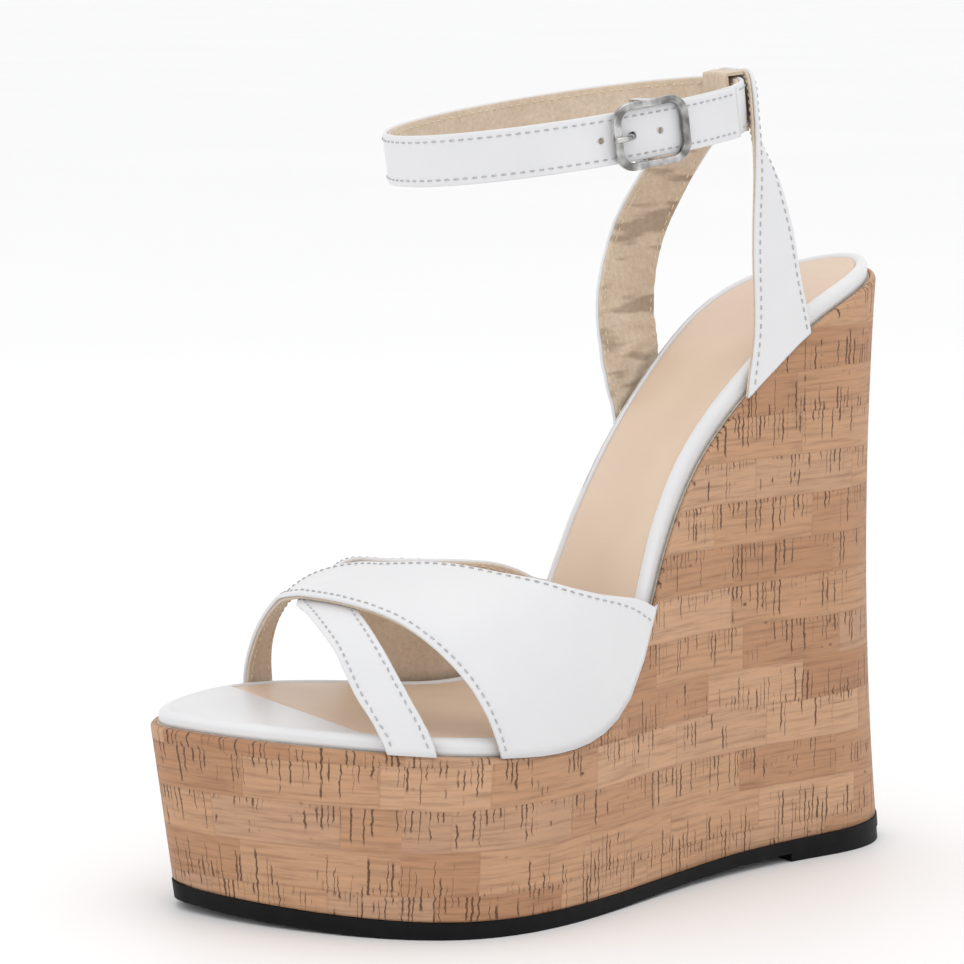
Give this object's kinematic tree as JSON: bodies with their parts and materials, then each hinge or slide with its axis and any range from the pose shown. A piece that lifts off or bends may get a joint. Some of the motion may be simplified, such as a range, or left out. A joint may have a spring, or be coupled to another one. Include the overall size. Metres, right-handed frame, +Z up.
{
  "type": "platform wedge sandal",
  "caption": "Open-toe platform wedge sandal for the left foot: cork-wrapped wedge, crossed vamp straps, heel sling and a buckled ankle strap.",
  "frame": {"origin": "on the ground under the ball tread", "axes": "+Z up, -Y to the toe, +Y to the heel, +X to the outer side of the left foot"},
  "size_m": [0.0983, 0.2014, 0.2008],
  "materials": {
    "sole_rubber": "black moulded rubber",
    "wedge_foam": "light moulded wedge, foam or ground cork",
    "pad_foam": "soft padding",
    "cork": "printed cork sheet",
    "board": "pressed fibre board",
    "white_upper": "smooth white synthetic leather",
    "lining": "beige brushed lining",
    "sock": "beige satin synthetic leather",
    "buckle_metal": "polished nickel plate"
  },
  "bodies": {
    "shoe": {"outsole": "sole_rubber", "heel_top_lift": "sole_rubber", "wedge_core": "wedge_foam", "cork_wrap": "cork", "insole_board": "board", "footbed_edge": "white_upper", "footbed_cushion": "pad_foam", "sock_liner": "sock", "toe_cover": "white_upper", "wide_strap_lining": "lining", "wide_strap_outer": "white_upper", "cross_strap_lining": "lining", "cross_strap_outer": "white_upper", "outer_quarter_lining": "lining", "outer_quarter_upper": "white_upper", "inner_quarter_lining": "lining", "inner_quarter_upper": "white_upper", "ankle_tunnel": "lining"},
    "ankle_strap": {"ankle_strap_outer": "white_upper", "ankle_strap_lining": "lining", "buckle_frame": "buckle_metal"},
    "prong": {"buckle_prong": "buckle_metal"}
  },
  "joints": [
    {"name": "ankle_strap_rock", "type": "hinge", "parent": "shoe", "child": "ankle_strap", "pos_m": [-0.0015, 0.0852, 0.1926], "axis": [1, 0, 0], "range_deg": [-6, 6]},
    {"name": "prong_swing", "type": "hinge", "parent": "ankle_strap", "child": "prong", "pos_m": [0.02533, 0.04179, 0.18673], "axis": [0, -0.1305, 0.9914], "range_deg": [0, 7]}
  ]
}
